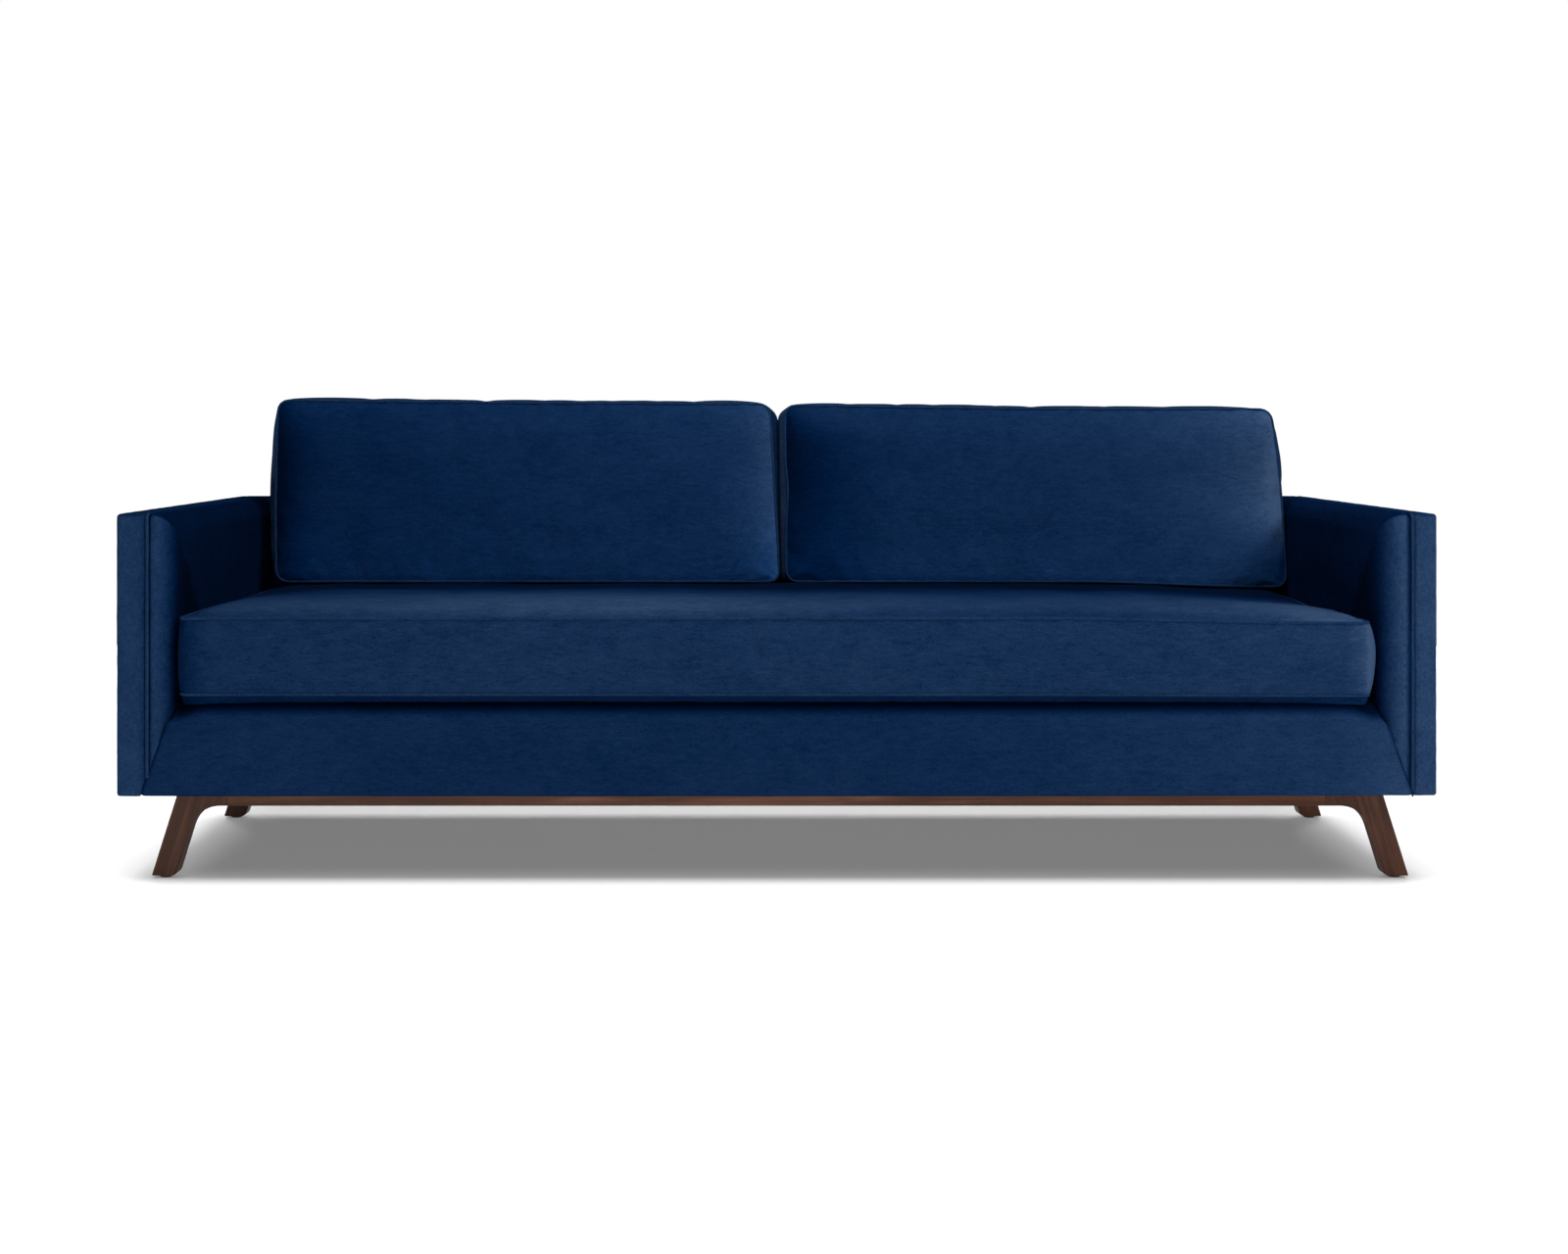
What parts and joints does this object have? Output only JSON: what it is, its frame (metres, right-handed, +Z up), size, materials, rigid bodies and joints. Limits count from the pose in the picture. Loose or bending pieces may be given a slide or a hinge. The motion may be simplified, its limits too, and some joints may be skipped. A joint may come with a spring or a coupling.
{
  "type": "tuxedo sofa",
  "caption": "Low velvet sofa with square arms level with the back frame, a bench seat cushion, loose back cushions and a splayed-leg wooden base.",
  "frame": {"origin": "on the floor, under the middle of the sofa's width and depth", "axes": "+X to the right as seen from the front, along the sofa's width; -Y is the front; +Z is up"},
  "size_m": [2.235, 0.9, 0.83],
  "materials": {
    "velvet": "matte",
    "walnut": "satin",
    "beech": "matte",
    "pine": "matte",
    "plywood": "matte",
    "nylon": "satin",
    "zinc_steel": "satin",
    "spring_steel": "satin",
    "felt": "matte",
    "batting": "matte",
    "foam": "matte",
    "cambric": "matte",
    "jute": "matte",
    "zip_tape": "matte"
  },
  "bodies": {
    "sofa_frame": {"base_front_rail": "walnut", "base_rear_rail": "walnut", "base_side_rails": "walnut", "front_left_leg": "walnut", "front_right_leg": "walnut", "rear_left_leg": "walnut", "rear_right_leg": "walnut", "base_dowels": "beech", "leg_glides": "nylon", "base_bolts": "zinc_steel", "tee_nuts": "zinc_steel", "front_seat_rail": "pine", "rear_seat_rail": "pine", "base_stretchers": "pine", "seat_braces": "pine", "corner_blocks": "pine", "arm_bottom_rails": "pine", "seat_springs": "spring_steel", "spring_clips": "spring_steel", "spring_tie_wires": "spring_steel", "deck_insulator": "felt", "deck_pad": "batting", "deck_cover": "velvet", "front_rail_pad": "batting", "front_rail_cover": "velvet", "dust_cover": "cambric", "arm_front_posts": "pine", "arm_rear_posts": "pine", "arm_top_rails": "pine", "arm_panels": "plywood", "left_arm_inside_pad": "batting", "right_arm_inside_pad": "batting", "left_arm_outside_pad": "batting", "right_arm_outside_pad": "batting", "left_arm_inside_cover": "velvet", "right_arm_inside_cover": "velvet", "left_arm_outside_cover": "velvet", "right_arm_outside_cover": "velvet", "arm_welts": "velvet", "back_top_rail": "pine", "back_posts": "plywood", "back_webbing": "jute", "back_pad": "batting", "back_inside_cover": "velvet", "back_outside_pad": "batting", "back_outside_cover": "velvet", "back_welt": "velvet"},
    "seat_cushion": {"seat_cushion_core": "foam", "seat_cushion_cover": "velvet", "seat_cushion_welts": "velvet", "seat_cushion_zipper": "zip_tape"},
    "left_back_cushion": {"left_back_cushion_core": "foam", "left_back_cushion_cover": "velvet", "left_back_cushion_welts": "velvet", "left_back_cushion_zipper": "zip_tape"},
    "right_back_cushion": {"right_back_cushion_core": "foam", "right_back_cushion_cover": "velvet", "right_back_cushion_welts": "velvet", "right_back_cushion_zipper": "zip_tape"}
  },
  "joints": [
    {"name": "seat_cushion_slide", "type": "slide", "parent": "sofa_frame", "child": "seat_cushion", "axis": [0, -1, 0], "range_m": [0, 0.8]},
    {"name": "left_back_cushion_lift", "type": "slide", "parent": "sofa_frame", "child": "left_back_cushion", "axis": [0, 0, 1], "range_m": [0, 0.3]},
    {"name": "right_back_cushion_lift", "type": "slide", "parent": "sofa_frame", "child": "right_back_cushion", "axis": [0, 0, 1], "range_m": [0, 0.3]}
  ]
}
